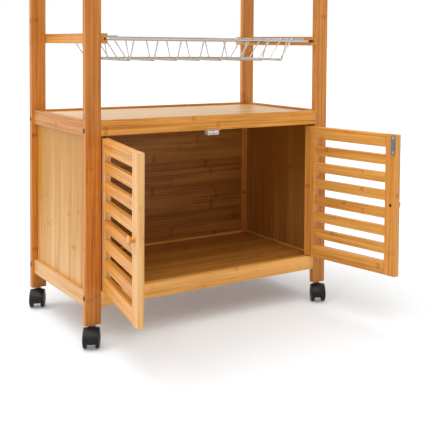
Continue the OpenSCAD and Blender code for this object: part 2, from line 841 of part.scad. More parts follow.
// Moulded hood: a web between the wheels, a fender over both, and the neck for the stem
module hood(s) {
  low_angle = acos(hood_drop/hood_top_r);
  color("#262626") at_caster(s) difference() {
    union() {
      intersection() {
        on_axle() cylinder(r = hood_r + hood_wall/2, h = web_w, center = true);
        translate([0, caster_trail, hood_low + wheel_d/2]) block(web_w, 2*wheel_d, wheel_d);
      }
      on_axle() rotate([0, 0, low_angle]) rotate_extrude(angle = fender_end - low_angle)
        fender_section();
      translate([0, 0, axle_z]) cylinder(d = web_w, h = neck_top_z - neck_slope - axle_z);
      translate([0, 0, neck_top_z - neck_slope])
        cylinder(d1 = web_w, d2 = web_w - 2*neck_slope, h = neck_slope);
    }
    translate([0, 0, stem_low_z - over]) cylinder(d = stem_d + 2*run_play, h = caster_h);
    on_axle() cylinder(d = axle_d + 2*press_gap, h = 2*web_w, center = true);
  }
}

module axle(s) {
  color("lightgray") at_caster(s) on_axle()
    cylinder(d = axle_d, h = 2*(wheel_x + wheel_w - wheel_cap) - 0.4, center = true);
}

// Half section of a wheel: a tread with a round outer edge, and a face that is domed a little
// and has a fine groove round it
module wheel_section() {
  r = wheel_d/2;
  edge_z = wheel_w - wheel_edge_drop - wheel_edge_r;
  ring_drop = wheel_dome_r - sqrt(pow(wheel_dome_r, 2) - pow(wheel_ring_d/2, 2));
  difference() {
    intersection() {
      union() {
        square([r - wheel_edge_r, wheel_w]);
        square([r, edge_z]);
        translate([r - wheel_edge_r, edge_z]) circle(wheel_edge_r);
      }
      translate([0, wheel_w - wheel_dome_r]) circle(wheel_dome_r);
    }
    translate([wheel_ring_d/2, wheel_w - ring_drop]) circle(0.5);
  }
}

// Nylon wheel with a closed outer side, and a hub that stands in a hollow towards the web
module wheel(s, side) {
  color("#1c1c1c") at_caster(s) on_axle() mirror([0, 0, side > 0 ? 0 : 1])
    translate([0, 0, wheel_x]) difference() {
      rotate_extrude() wheel_section();
      translate([0, 0, -over]) difference() {
        cylinder(r = wheel_d/2 - wheel_rim, h = wheel_hollow + over);
        cylinder(d = axle_d + 6, h = wheel_hollow + over);
      }
      translate([0, 0, -over])
        cylinder(d = axle_d + 2*run_play, h = wheel_w - wheel_cap + over);
    }
}

post(-1, -1);  // front_left_post
post(1, -1);  // front_right_post
post(-1, 1);  // back_left_post
post(1, 1);  // back_right_post
long_rail(-1, 0);  // front_bottom_rail
long_rail(1, 0);  // back_bottom_rail
side_rail(-1, 0);  // left_bottom_rail
side_rail(1, 0);  // right_bottom_rail
long_rail(-1, 1);  // front_top_rail
long_rail(1, 1);  // back_top_rail
side_rail(-1, 1);  // left_top_rail
side_rail(1, 1);  // right_top_rail
framed_board(cabinet_z - board_drop);  // floor_board
framed_board(shelf_z - board_drop);  // shelf_board
back_panel();
side_panel(-1);  // left_side_panel
side_panel(1);  // right_side_panel
worktop_rails();
worktop_board();
frame_screws();
runner(-1);  // left_runner
runner(1);  // right_runner
basket_ring();
basket_rim();
basket_long_wires();
basket_side_wires();
hinge_pins();
catch_body();
catch_magnets();
hinge_stile(-1);  // left_door_hinge_stile
free_stile(-1);  // left_door_free_stile
door_rail(-1, door_top_z - door_rail_h/2);  // left_door_top_rail
door_rail(-1, door_z + door_rail_h/2);  // left_door_bottom_rail
slats(-1);  // left_door_slats
knob(-1);  // left_door_knob
strike(-1);  // left_door_strike
hinge_stile(1);  // right_door_hinge_stile
free_stile(1);  // right_door_free_stile
door_rail(1, door_top_z - door_rail_h/2);  // right_door_top_rail
door_rail(1, door_z + door_rail_h/2);  // right_door_bottom_rail
slats(1);  // right_door_slats
knob(1);  // right_door_knob
strike(1);  // right_door_strike
caster_stems();
hood([-1, -1]);  // front_left_hood
axle([-1, -1]);  // front_left_axle
wheel([-1, -1], -1);  // front_left_inner_wheel
wheel([-1, -1], 1);  // front_left_outer_wheel
hood([1, -1]);  // front_right_hood
axle([1, -1]);  // front_right_axle
wheel([1, -1], 1);  // front_right_inner_wheel
wheel([1, -1], -1);  // front_right_outer_wheel
hood([-1, 1]);  // back_left_hood
axle([-1, 1]);  // back_left_axle
wheel([-1, 1], -1);  // back_left_inner_wheel
wheel([-1, 1], 1);  // back_left_outer_wheel
hood([1, 1]);  // back_right_hood
axle([1, 1]);  // back_right_axle
wheel([1, 1], 1);  // back_right_inner_wheel
wheel([1, 1], -1);  // back_right_outer_wheel
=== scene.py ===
# Serving cart: bamboo kitchen trolley with a slatted cabinet, a framed shelf and a sliding
# wire basket, on twin-wheel casters. Metres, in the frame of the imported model.
import math

import bpy
from mathutils import Matrix, Vector


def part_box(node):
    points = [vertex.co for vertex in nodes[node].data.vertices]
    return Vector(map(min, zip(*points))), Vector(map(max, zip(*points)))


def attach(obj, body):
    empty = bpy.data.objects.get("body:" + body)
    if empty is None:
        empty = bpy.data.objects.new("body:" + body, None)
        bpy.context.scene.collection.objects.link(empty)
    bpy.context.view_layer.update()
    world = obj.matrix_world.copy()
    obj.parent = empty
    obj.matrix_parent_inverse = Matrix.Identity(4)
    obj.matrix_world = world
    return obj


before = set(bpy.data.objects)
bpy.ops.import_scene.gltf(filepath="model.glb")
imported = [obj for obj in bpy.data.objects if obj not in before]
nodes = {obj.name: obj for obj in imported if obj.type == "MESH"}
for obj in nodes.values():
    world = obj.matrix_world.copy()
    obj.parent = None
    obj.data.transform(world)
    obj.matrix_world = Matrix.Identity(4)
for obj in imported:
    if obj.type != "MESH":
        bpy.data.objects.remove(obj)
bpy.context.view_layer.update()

MM = 0.001


# Camera: a normal lens at the cart's front left, a little above the shelf. The lens is shifted
# because the photo shows only the lower part of the cart, well below the camera's horizon.
PHOTO_SIDE = 430
CAMERA_PLACE = Vector((-932.7, -1692.6, 601.1)) * MM
CAMERA_YAW = -0.60155
CAMERA_PITCH = 0.04755
CAMERA_ROLL = 0.0095
FOCAL_PIXELS = 834.88
LENS_CENTRE = (262.7, 84.9)
SENSOR = 36

ahead = Vector((-math.sin(CAMERA_YAW) * math.cos(CAMERA_PITCH),
                math.cos(CAMERA_YAW) * math.cos(CAMERA_PITCH),
                -math.sin(CAMERA_PITCH)))
level = Vector((math.cos(CAMERA_YAW), math.sin(CAMERA_YAW), 0))
upright = level.cross(ahead)
across = level * math.cos(CAMERA_ROLL) + upright * math.sin(CAMERA_ROLL)
upward = upright * math.cos(CAMERA_ROLL) - level * math.sin(CAMERA_ROLL)

bpy.ops.object.select_all(action="DESELECT")
bpy.ops.object.camera_add()
camera = bpy.context.object
camera.name = "photo_camera"
camera.matrix_world = Matrix((
    (across.x, upward.x, -ahead.x, CAMERA_PLACE.x),
    (across.y, upward.y, -ahead.y, CAMERA_PLACE.y),
    (across.z, upward.z, -ahead.z, CAMERA_PLACE.z),
    (0, 0, 0, 1)))
camera.data.sensor_width = SENSOR
camera.data.lens = FOCAL_PIXELS / PHOTO_SIDE * SENSOR
camera.data.shift_x = (PHOTO_SIDE / 2 - LENS_CENTRE[0]) / PHOTO_SIDE
camera.data.shift_y = (LENS_CENTRE[1] - PHOTO_SIDE / 2) / PHOTO_SIDE
camera.data.clip_start = 0.05
bpy.context.scene.camera = camera
bpy.context.scene.view_settings.view_transform = "Standard"


# Studio: a white floor that runs to the horizon under one large soft source overhead, which four
# suns round the zenith stand for, with a fifth low at the left. The rest of the light on the
# cart's front is what the floor and the room give back.
def linear(hex_colour):
    """sRGB hex to linear RGBA."""
    parts = [int(hex_colour[i:i + 2], 16) / 255 for i in (1, 3, 5)]
    return [c / 12.92 if c <= 0.04045 else ((c + 0.055) / 1.055) ** 2.4 for c in parts] + [1]


def add(tree, kind, values=None, links=None, **settings):
    """Adds a node with its settings, the values of its sockets, and the links into them."""
    new = tree.nodes.new(kind)
    for name, value in settings.items():
        setattr(new, name, value)
    for socket, value in (values or {}).items():
        new.inputs[socket].default_value = value
    for socket, source in (links or {}).items():
        tree.links.new(source, new.inputs[socket])
    return new


def soft_sun(name, comes_from, facing_white, spread):
    """Sun from a direction; a white surface that faces it gets facing_white of full white."""
    bpy.ops.object.light_add(type="SUN")
    lamp = bpy.context.object
    lamp.name = name
    lamp.rotation_euler = Vector(comes_from).to_track_quat("Z", "Y").to_euler()
    lamp.data.energy = facing_white * math.pi
    lamp.data.angle = math.radians(spread)
    return lamp


ROOM_LIGHT = 0.31
SEEN_WHITE = 1.0
soft_sun("zenith_light", (0.1, 0.0, 1.0), 0.12, 60)
soft_sun("left_overhead_light", (-0.5, 0.0, 1.0), 0.22, 50)
soft_sun("back_overhead_light", (0.0, 0.6, 1.0), 0.22, 50)
soft_sun("front_overhead_light", (-0.25, -0.7, 1.0), 0.31, 40)
soft_sun("left_light", (-1.0, 0.1, 0.45), 0.32, 60)

world = bpy.data.worlds.new("white_studio")
bpy.context.scene.world = world
world.use_nodes = True
tree = world.node_tree
tree.nodes.clear()
rays = add(tree, "ShaderNodeLightPath")
seen = add(tree, "ShaderNodeMath", operation="MAXIMUM",
           links={0: rays.outputs["Is Camera Ray"], 1: rays.outputs["Is Glossy Ray"]})
seen = add(tree, "ShaderNodeMath", operation="MAXIMUM",
           links={0: seen.outputs[0], 1: rays.outputs["Is Transmission Ray"]})
strength = add(tree, "ShaderNodeMapRange", {"To Min": ROOM_LIGHT, "To Max": SEEN_WHITE},
               {"Value": seen.outputs[0]})
sky = add(tree, "ShaderNodeBackground", {"Color": linear("#FFFFFF")},
          {"Strength": strength.outputs[0]})
add(tree, "ShaderNodeOutputWorld", links={"Surface": sky.outputs[0]})

# The floor is matt paper: to the eye an even white, which a faint glow towards the camera and in
# reflections lifts, while shadows stay
FLOOR_SIDE = 400
FLOOR_GLOW = 0.18
bpy.ops.object.select_all(action="DESELECT")
bpy.ops.mesh.primitive_plane_add(size=FLOOR_SIDE)
floor = bpy.context.object
floor.name = "studio_floor"
paper = bpy.data.materials.new("white_floor_paper")
paper.use_nodes = True
tree = paper.node_tree
tree.nodes.clear()
matt = add(tree, "ShaderNodeBsdfDiffuse", {"Color": linear("#ECF1F4")})
glow = add(tree, "ShaderNodeEmission", {"Color": linear("#FFFFFF")})
rays = add(tree, "ShaderNodeLightPath")
lift = add(tree, "ShaderNodeMath", operation="MAXIMUM",
           links={0: rays.outputs["Is Camera Ray"], 1: rays.outputs["Is Glossy Ray"]})
lift = add(tree, "ShaderNodeMath", {1: FLOOR_GLOW}, {0: lift.outputs[0]}, operation="MULTIPLY")
tree.links.new(lift.outputs[0], glow.inputs["Strength"])
both = add(tree, "ShaderNodeAddShader", links={0: matt.outputs[0], 1: glow.outputs[0]})
add(tree, "ShaderNodeOutputMaterial", links={"Surface": both.outputs[0]})
floor.data.materials.append(paper)


# Posts: flat laths of caramelised bamboo, pressed from strips and finished with a clear satin
# lacquer. Every other wooden piece has the same material with another tone, grain and strip.
FIBRE = (200 * MM, 1.9 * MM)      # real fibres are 0.3 to 0.6 mm wide: drawn coarser, to show
VEIN = (80 * MM, 1.1 * MM)        # real veins are about 0.5 mm wide: drawn coarser, to show
BUNDLE = (400 * MM, 6.7 * MM)
DRIFT = (250 * MM, 45 * MM)
RAGGED_EDGE = (33 * MM, 6.3 * MM)
PORE = 1.4 * MM                   # real pores are 0.3 mm wide: drawn coarser, to show
FIBRE_BUMP = 0.2 * MM
BUMP_STRENGTH = 0.2
VEIN_DARKENS = (0.56, 0.7, 0.5)   # noise at which a vein begins and is full, and how dark it is
PORE_DARKENS = (0.1, 0.45, 0.5, 0.1)
END_FACING = 0.8
STRIP_SHIFT = (0.37, 0.37, 0.37)  # keeps the strips' borders off the faces of the pieces
KNUCKLE_PITCH = 260 * MM
KNUCKLE_CORE = 1 * MM
KNUCKLE_REACH = 7 * MM
KNUCKLE_SCATTER = 7.0             # each strip starts its knuckles up to so many pitches further on
KNUCKLE_WAVER = 0.025
KNUCKLE_LOTS = 0.37               # sets apart the lots that decide how strongly a knuckle shows
STRIP_WEIGHT = 0.30
FIBRE_WEIGHT = 1.6
VEIN_WEIGHT = 1.0
BUNDLE_WEIGHT = 1.2
DRIFT_WEIGHT = 0.8
KNUCKLE_WEIGHT = 1.1
ALL_LIGHT = 1.52
ALL_DARK = 2.5
SATIN = (0.3, 0.45)
LACQUER_IOR = 1.45
PLAIN_LUSTRE = 0.25
POST_STRIP = (20 * MM, 17 * MM)
UPRIGHT = (0, math.radians(90), 0)
SIDEWAYS = (0, 0, 0)
FORE_AND_AFT = (0, 0, math.radians(-90))


# To the eye, lacquered bamboo has warm streaks along the grain, strips that differ a little in
# tone, dark smudged knuckles across them, and a satin sheen that is livelier on some bundles
def bamboo(name, tone, dark_tone, turn, strip, lustre=PLAIN_LUSTRE, painted_light_fade=0, frame_corner=0, inner=None):
    """Lacquered bamboo with its grain turned onto X and strips of the given two widths.

    Its lacquer mirrors by its lustre, and its dark tone grows by fade for each metre along the
    grain, which is painted light: an upright piece comes out lighter towards the floor. Inner gives
    the axis across a panel, the panel's middle there, and a tint of painted shade for the side that
    faces the inside of the cabinet.
    """
    made = bpy.data.materials.new(name)
    made.use_nodes = True
    tree = made.node_tree
    tree.nodes.clear()
    coordinates = add(tree, "ShaderNodeTexCoord")
    place = add(tree, "ShaderNodeMapping", {"Rotation": turn},
                {"Vector": coordinates.outputs["Object"]}).outputs[0]
    normal = add(tree, "ShaderNodeMapping", {"Rotation": turn},
                 {"Vector": coordinates.outputs["Normal"]}).outputs[0]
    if frame_corner:
        # Side rails that share a node with front and back rails have their grain along Y
        other = add(tree, "ShaderNodeMapping", {"Rotation": FORE_AND_AFT}, {"Vector": place})
        other_normal = add(tree, "ShaderNodeMapping", {"Rotation": FORE_AND_AFT}, {"Vector": normal})
        apart = add(tree, "ShaderNodeSeparateXYZ", links={0: place})
        reach = add(tree, "ShaderNodeMath", links={0: apart.outputs[0]}, operation="ABSOLUTE")
        aside = add(tree, "ShaderNodeMath", {1: frame_corner}, {0: reach.outputs[0]},
                    operation="GREATER_THAN")
        place = add(tree, "ShaderNodeMix", links={0: aside.outputs[0], 4: place, 5: other.outputs[0]},
                    data_type="VECTOR").outputs[1]
        normal = add(tree, "ShaderNodeMix",
                     links={0: aside.outputs[0], 4: normal, 5: other_normal.outputs[0]},
                     data_type="VECTOR").outputs[1]

    # Strips: each has its own tone and its own places for its knuckles
    cell = add(tree, "ShaderNodeMapping",
               {"Scale": (0, 1 / strip[0], 1 / strip[1]), "Location": STRIP_SHIFT},
               {"Vector": place})
    cell = add(tree, "ShaderNodeVectorMath", links={0: cell.outputs[0]}, operation="FLOOR")
    chance = add(tree, "ShaderNodeTexWhiteNoise", links={"Vector": cell.outputs[0]})
    along = add(tree, "ShaderNodeSeparateXYZ", links={0: place})

    # Fibres: fine streaks, broader bundles of them, a slow drift of the tone, and dark veins
    streaks = []
    for length, width in (FIBRE, BUNDLE, DRIFT, VEIN, RAGGED_EDGE):
        stretched = add(tree, "ShaderNodeMapping", {"Scale": (1 / length, 1 / width, 1 / width)},
                        {"Vector": place})
        streaks.append(add(tree, "ShaderNodeTexNoise", {"Scale": 1, "Detail": 2, "Roughness": 0.55},
                           {"Vector": stretched.outputs[0]}))
    fine, bundles, drift, dashes, ragged = streaks
    veins = add(tree, "ShaderNodeMapRange",
                {"From Min": VEIN_DARKENS[0], "From Max": VEIN_DARKENS[1], "To Min": 0,
                 "To Max": VEIN_DARKENS[2]}, {"Value": dashes.outputs[0]})

    # Knuckles: soft smudges across a strip, some of them hardly seen
    steps = add(tree, "ShaderNodeMath", {1: 1 / KNUCKLE_PITCH}, {0: along.outputs[0]},
                operation="MULTIPLY")
    steps = add(tree, "ShaderNodeMath", {1: KNUCKLE_SCATTER},
                {0: chance.outputs["Value"], 2: steps.outputs[0]}, operation="MULTIPLY_ADD")
    steps = add(tree, "ShaderNodeMath", {1: KNUCKLE_WAVER}, {0: ragged.outputs[0], 2: steps.outputs[0]},
                operation="MULTIPLY_ADD")
    phase = add(tree, "ShaderNodeMath", links={0: steps.outputs[0]}, operation="FRACT")
    phase = add(tree, "ShaderNodeMath", {1: 0.5}, {0: phase.outputs[0]}, operation="SUBTRACT")
    away = add(tree, "ShaderNodeMath", links={0: phase.outputs[0]}, operation="ABSOLUTE")
    smudge = add(tree, "ShaderNodeMapRange",
                 {"From Min": KNUCKLE_CORE / KNUCKLE_PITCH, "From Max": KNUCKLE_REACH / KNUCKLE_PITCH,
                  "To Min": 1, "To Max": 0}, {"Value": away.outputs[0]}, interpolation_type="SMOOTHSTEP")
    number = add(tree, "ShaderNodeMath", links={0: steps.outputs[0]}, operation="FLOOR")
    number = add(tree, "ShaderNodeMath", {1: KNUCKLE_LOTS},
                 {0: number.outputs[0], 2: chance.outputs["Value"]}, operation="MULTIPLY_ADD")
    showing = add(tree, "ShaderNodeTexWhiteNoise", links={"W": number.outputs[0]}, noise_dimensions="1D")
    knuckle = add(tree, "ShaderNodeMath", links={0: smudge.outputs[0], 1: showing.outputs["Value"]},
                  operation="MULTIPLY")
    knuckle = add(tree, "ShaderNodeMath", links={0: knuckle.outputs[0], 1: ragged.outputs[0]},
                  operation="MULTIPLY")

    # Pores on the cut ends
    ends = add(tree, "ShaderNodeSeparateXYZ", links={0: normal})
    ends = add(tree, "ShaderNodeMath", links={0: ends.outputs[0]}, operation="ABSOLUTE")
    ends = add(tree, "ShaderNodeMath", {1: END_FACING}, {0: ends.outputs[0]}, operation="GREATER_THAN")
    pores = add(tree, "ShaderNodeTexVoronoi", {"Scale": 1 / PORE}, {"Vector": place})
    pores = add(tree, "ShaderNodeMapRange",
                {"From Min": PORE_DARKENS[0], "From Max": PORE_DARKENS[1], "To Min": PORE_DARKENS[2],
                 "To Max": PORE_DARKENS[3]}, {"Value": pores.outputs["Distance"]})
    pores = add(tree, "ShaderNodeMath", links={0: pores.outputs[0], 1: ends.outputs[0]},
                operation="MULTIPLY")

    # Share of the dark tone: the weighted sum of all these, stretched about its middle
    share = pores
    for part, weight in ((chance.outputs["Value"], STRIP_WEIGHT), (fine.outputs[0], FIBRE_WEIGHT),
                         (veins.outputs[0], VEIN_WEIGHT), (bundles.outputs[0], BUNDLE_WEIGHT),
                         (drift.outputs[0], DRIFT_WEIGHT), (knuckle.outputs[0], KNUCKLE_WEIGHT)):
        share = add(tree, "ShaderNodeMath", {1: weight}, {0: part, 2: share.outputs[0]},
                    operation="MULTIPLY_ADD")
    # Painted light: the dark share grows along the grain, so that an upright panel is lighter low down,
    # where the floor's bounce and sheen fall on it
    if painted_light_fade:
        share = add(tree, "ShaderNodeMath", {1: painted_light_fade}, {0: along.outputs[0], 2: share.outputs[0]},
                    operation="MULTIPLY_ADD")
    share = add(tree, "ShaderNodeMapRange", {"From Min": ALL_LIGHT, "From Max": ALL_DARK},
                {"Value": share.outputs[0]})
    colour = add(tree, "ShaderNodeMix", {6: linear(tone), 7: linear(dark_tone)},
                 {0: share.outputs[0]}, data_type="RGBA")
    if inner:
        # The face towards the inside of the cabinet is darker: painted shade of the cabinet's inside
        across_panel, middle, painted_shade_tint = inner
        apart = add(tree, "ShaderNodeSeparateXYZ", links={0: coordinates.outputs["Object"]})
        reach = add(tree, "ShaderNodeMath", links={0: apart.outputs[across_panel]}, operation="ABSOLUTE")
        inside = add(tree, "ShaderNodeMath", {1: middle}, {0: reach.outputs[0]}, operation="LESS_THAN")
        colour = add(tree, "ShaderNodeMix", {7: linear(painted_shade_tint)},
                     {0: inside.outputs[0], 6: colour.outputs[2]}, data_type="RGBA", blend_type="MULTIPLY")
    gloss = add(tree, "ShaderNodeMapRange", {"To Min": SATIN[0], "To Max": SATIN[1]},
                {"Value": bundles.outputs[0]})
    relief = add(tree, "ShaderNodeBump", {"Strength": BUMP_STRENGTH, "Distance": FIBRE_BUMP},
                 {"Height": fine.outputs[0]})
    surface = add(tree, "ShaderNodeBsdfPrincipled", {"IOR": LACQUER_IOR, "Specular IOR Level": lustre},
                  {"Base Color": colour.outputs[2], "Roughness": gloss.outputs[0],
                   "Normal": relief.outputs[0]})
    add(tree, "ShaderNodeOutputMaterial", links={"Surface": surface.outputs[0]})
    return made


def dress(material, names):
    """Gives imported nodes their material."""
    for name in names:
        mesh = nodes[name].data
        mesh.materials.clear()
        mesh.materials.append(material)


for side, tone, dark_tone in (("left", "#E1923D", "#A75918"), ("right", "#EEA34E", "#B86B28")):
    post_bamboo = bamboo(f"{side}_post_bamboo", tone, dark_tone, UPRIGHT, POST_STRIP, lustre=0.35)
    dress(post_bamboo, [f"{end}_{side}_post" for end in ("front", "back")])


# Rails: laths of the same section. The long ones butt between the posts, the short ones stand
# between the posts' flat sides on stub tenons. One strip fills half the height of a lath.
LATH_STRIP = (20 * MM, 15.8 * MM)
# Painted light: the bottom rails are paler than the top ones, for the floor's bounce and sheen near the
# floor
for level, tone, dark_tone in (("top", "#EFA84C", "#BA6D20"), ("bottom", "#FCBD6B", "#D8923F")):
    rail_bamboo = bamboo(f"{level}_rail_bamboo", tone, dark_tone, SIDEWAYS, LATH_STRIP)
    dress(rail_bamboo, [f"{end}_{level}_rail" for end in ("front", "back")])
# Painted light: the bottom side rails are paler than the top ones, for the floor's bounce and sheen; their
# higher lustre is a real sheen of the lacquer
for level, tone, dark_tone, lustre in (("top", "#DC994F", "#B06825", PLAIN_LUSTRE),
                                       ("bottom", "#E6B26E", "#BA7E3A", 0.5)):
    side_rail_bamboo = bamboo(f"{level}_side_rail_bamboo", tone, dark_tone, FORE_AND_AFT, LATH_STRIP, lustre)
    dress(side_rail_bamboo, [f"{side}_{level}_rail" for side in ("left", "right")])
CORNER_MARGIN = 0.5 * MM
corner = max(v.co.x for v in nodes["front_top_rail"].data.vertices) + CORNER_MARGIN
mixed_bamboo = bamboo("worktop_rail_bamboo", "#EBA650", "#B96E22", SIDEWAYS, LATH_STRIP,
                      frame_corner=corner)
dress(mixed_bamboo, ["worktop_rails"])


# Boards and panels: thin pressed bamboo, paler than the laths, let into grooves all round. The
# strips of the side panels stand upright, those of the boards and the back panel lie across.
# What shows inside the cabinet is darker: painted shade of the cabinet's inside, on the back
# panel, the floor board and the inner faces of the side panels. The side panels are darker
# towards their top: painted light, lighter low down where the floor's bounce and sheen fall.
BOARD_STRIP = (21 * MM, 21 * MM)
PANEL_STRIP = (24 * MM, 24 * MM)
board_bamboo = bamboo("board_bamboo", "#F6D49E", "#CFA66C", SIDEWAYS, BOARD_STRIP, lustre=0.4)
dress(board_bamboo, ["shelf_board", "worktop_board"])
back_low, back_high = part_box("back_panel")
# Painted shade: the back panel is darker than the boards, and darker again on its inner face, for the shade
# inside the cabinet
back_bamboo = bamboo("back_bamboo", "#E2AC63", "#A36B30", SIDEWAYS, BOARD_STRIP,
                     inner=(1, (back_low.y + back_high.y) / 2, "#DAC9A9"))
dress(back_bamboo, ["back_panel"])
# Painted shade: the floor board is darker than the other boards, for the shade inside the cabinet
floor_bamboo = bamboo("floor_bamboo", "#C2863D", "#8D5618", SIDEWAYS, BOARD_STRIP)
dress(floor_bamboo, ["floor_board"])
# Painted shade: the side panels' inner faces are darker, for the shade inside the cabinet. Painted light:
# the panels grow lighter towards the floor, for the floor's bounce and sheen low down
panel_low, panel_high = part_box("right_side_panel")
panel_bamboo = bamboo("panel_bamboo", "#EDC286", "#C28634", UPRIGHT, PANEL_STRIP, painted_light_fade=1.6,
                      inner=(0, (panel_low.x + panel_high.x) / 2, "#D8CDB4"))
dress(panel_bamboo, ["left_side_panel", "right_side_panel"])


# Doors: mortised stiles with two rails and six slats on tenons, and a turned knob. The grain
# of rails and slats follows each door's own angle, and one strip fills half a slat.
DOOR_OPEN = math.radians(100)
DOOR_LUSTRE = 0.4
BAR_STRIP = (20 * MM, 12.5 * MM)
STILE_STRIP = (16 * MM, 16 * MM)
for side, angle in (("left", DOOR_OPEN), ("right", math.pi - DOOR_OPEN)):
    bar_bamboo = bamboo(f"{side}_door_bamboo", "#F5B35C", "#C67C2A", (0, 0, angle), BAR_STRIP, DOOR_LUSTRE)
    dress(bar_bamboo, [f"{side}_door_{part}" for part in ("top_rail", "bottom_rail", "slats", "knob")])
# Painted sheen: the left door's stiles are paler than the right door's, for the white glancing sheen on the
# left door's outer face
for side, tone, dark_tone in (("left", "#F6C07E", "#CE8E48"), ("right", "#F3AC54", "#C07428")):
    stile_bamboo = bamboo(f"{side}_stile_bamboo", tone, dark_tone, UPRIGHT, STILE_STRIP, DOOR_LUSTRE)
    dress(stile_bamboo, [f"{side}_door_{part}_stile" for part in ("hinge", "free")])


# Basket runners: laths of solid bamboo with a milled groove, screwed to the inner faces of
# the posts. They have the door bars' narrow strips.
runner_bamboo = bamboo("runner_bamboo", "#ECA850", "#B8702A", FORE_AND_AFT, BAR_STRIP)
dress(runner_bamboo, ["left_runner", "right_runner"])


# Wire basket: mild steel wire, bent over a former, spot welded and chrome plated. All metals
# of the cart have the same unevenness of plating.
SPANGLE = 3.8 * MM                # real spangle and polishing marks are under 1 mm: drawn coarser
DULLED = 0.8


def metal(name, colour, roughness, scratch):
    """Plated or treated steel whose tint and gloss vary a little from place to place."""
    made = bpy.data.materials.new(name)
    made.use_nodes = True
    tree = made.node_tree
    tree.nodes.clear()
    coordinates = add(tree, "ShaderNodeTexCoord")
    mottle = add(tree, "ShaderNodeTexNoise", {"Scale": 1 / SPANGLE, "Detail": 3},
                 {"Vector": coordinates.outputs["Object"]})
    gloss = add(tree, "ShaderNodeMapRange", {"To Min": roughness, "To Max": roughness + scratch},
                {"Value": mottle.outputs[0]})
    dulled = [c * DULLED for c in linear(colour)[:3]] + [1]
    tint = add(tree, "ShaderNodeMix", {6: linear(colour), 7: dulled}, {0: mottle.outputs[0]},
               data_type="RGBA")
    surface = add(tree, "ShaderNodeBsdfPrincipled", {"Metallic": 1},
                  {"Base Color": tint.outputs[2], "Roughness": gloss.outputs[0]})
    add(tree, "ShaderNodeOutputMaterial", links={"Surface": surface.outputs[0]})
    return made


# Chrome plate: to the eye a bright mirror, warm where it picks up the wood
chrome = metal("chrome_plate", "#C9C5BF", 0.14, 0.1)
dress(chrome, ["basket_ring", "basket_rim", "basket_long_wires", "basket_side_wires"])


# Welds of the basket: small flat nuggets that the spot welder leaves where two wires meet,
# plated with them. One nugget is modelled and copied to every crossing, turned each time.
LONG_WIRES = 8
SIDE_WIRES = 6
WIRE_RADIUS = 1.5 * MM
RING_RADIUS = 2.5 * MM
RIM_RADIUS = 2.25 * MM
NUGGET = 1.7 * MM
NUGGET_SHAPE = (1.15, 1.0, 0.6)
NUGGET_UNEVEN = 0.12 * MM
NUGGET_TURN = 0.9
RING_END_WELD = 13.6 * MM
END_INSET = 2.1 * MM
END_RISE = 1.5 * MM


def strewn(master, name, places, material, body):
    """Makes one piece of copies of a small master, each at its place, that rides on a body."""
    bpy.ops.object.select_all(action="DESELECT")
    for place in places:
        one = master.copy()
        one.data = master.data.copy()
        one.data.transform(place)
        bpy.context.collection.objects.link(one)
        one.select_set(True)
        bpy.context.view_layer.objects.active = one
    bpy.ops.object.join()
    piece = bpy.context.object
    piece.name = name
    piece.data.materials.clear()
    piece.data.materials.append(material)
    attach(piece, body)


def evenly(first, last, number):
    """Places of the wires of one run, first and last included."""
    return [first + i * (last - first) / (number - 1) for i in range(number)]


bpy.ops.object.select_all(action="DESELECT")
bpy.ops.mesh.primitive_uv_sphere_add(segments=10, ring_count=6, radius=NUGGET)
nugget = bpy.context.object
bpy.ops.object.mode_set(mode="EDIT")
bpy.ops.mesh.select_all(action="SELECT")
bpy.ops.transform.resize(value=NUGGET_SHAPE)
bpy.ops.transform.vertex_random(offset=NUGGET_UNEVEN, seed=4)
bpy.ops.mesh.vertices_smooth(factor=0.4)
bpy.ops.object.mode_set(mode="OBJECT")
bpy.ops.object.shade_smooth()

ring_low, ring_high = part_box("basket_ring")
rim_low, rim_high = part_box("basket_rim")
long_low, long_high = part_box("basket_long_wires")
side_low, side_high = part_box("basket_side_wires")
columns = evenly(long_low.x + WIRE_RADIUS, long_high.x - WIRE_RADIUS, LONG_WIRES)
rows = evenly(side_low.y + WIRE_RADIUS, side_high.y - WIRE_RADIUS, SIDE_WIRES)
ring_z = (ring_low.z + ring_high.z) / 2
rim_z = (rim_low.z + rim_high.z) / 2
rods = ((ring_low.y + RING_RADIUS, 1), (ring_high.y - RING_RADIUS, -1))
runs = ((rim_low.x + RIM_RADIUS, 1), (rim_high.x - RIM_RADIUS, -1))
welds = [(x, y, long_low.z + 2 * WIRE_RADIUS) for x in columns for y in rows]
welds += [(x, y + inward * END_INSET, ring_z + END_RISE) for x in columns for y, inward in rods]
welds += [(x + inward * END_INSET, y, rim_z + END_RISE) for y in rows for x, inward in runs]
welds += [(x, ring_low.y + RING_RADIUS, ring_z + RING_RADIUS) for x, inward in runs]
welds += [(x + inward * RING_END_WELD, ring_high.y - RING_RADIUS, ring_z + RING_RADIUS)
          for x, inward in runs]
weld_places = [Matrix.Translation(place) @ Matrix.Rotation(NUGGET_TURN * i, 4, "Z")
               for i, place in enumerate(welds)]
strewn(nugget, "basket_welds", weld_places, chrome, "basket")
bpy.data.objects.remove(nugget)


# Small steel parts: turned stems and axles and stamped strike plates, zinc plated, pins of the
# doors in dark steel, whose darkness is painted shade, and bronzed connecting screws.

# Zinc plate of the strikes: to the eye a matt blue grey that glints without mirroring
strike_zinc = metal("matt_zinc_plate", "#8B98A8", 0.42, 0.14)
dress(strike_zinc, ["left_door_strike", "right_door_strike"])
# Bright zinc plate: pale steel with soft highlights
zinc = metal("zinc_plate", "#D8DADC", 0.32, 0.15)
dress(zinc, ["caster_stems", "catch_magnets"]
      + [f"{end}_{side}_axle" for end in ("front", "back") for side in ("left", "right")])
# Dark steel: dark, with one small highlight. On the hinge pins its darkness is painted shade, for pins that
# sit in shadow
dark_steel = metal("dark_plain_steel", "#3A3630", 0.35, 0.15)
dress(dark_steel, ["hinge_pins"])
# Bronzed steel: the dull brown of old brass, hardly lighter than the wood's shadows
bronzed = metal("bronzed_steel", "#6A5228", 0.35, 0.15)
dress(bronzed, ["frame_screws"])
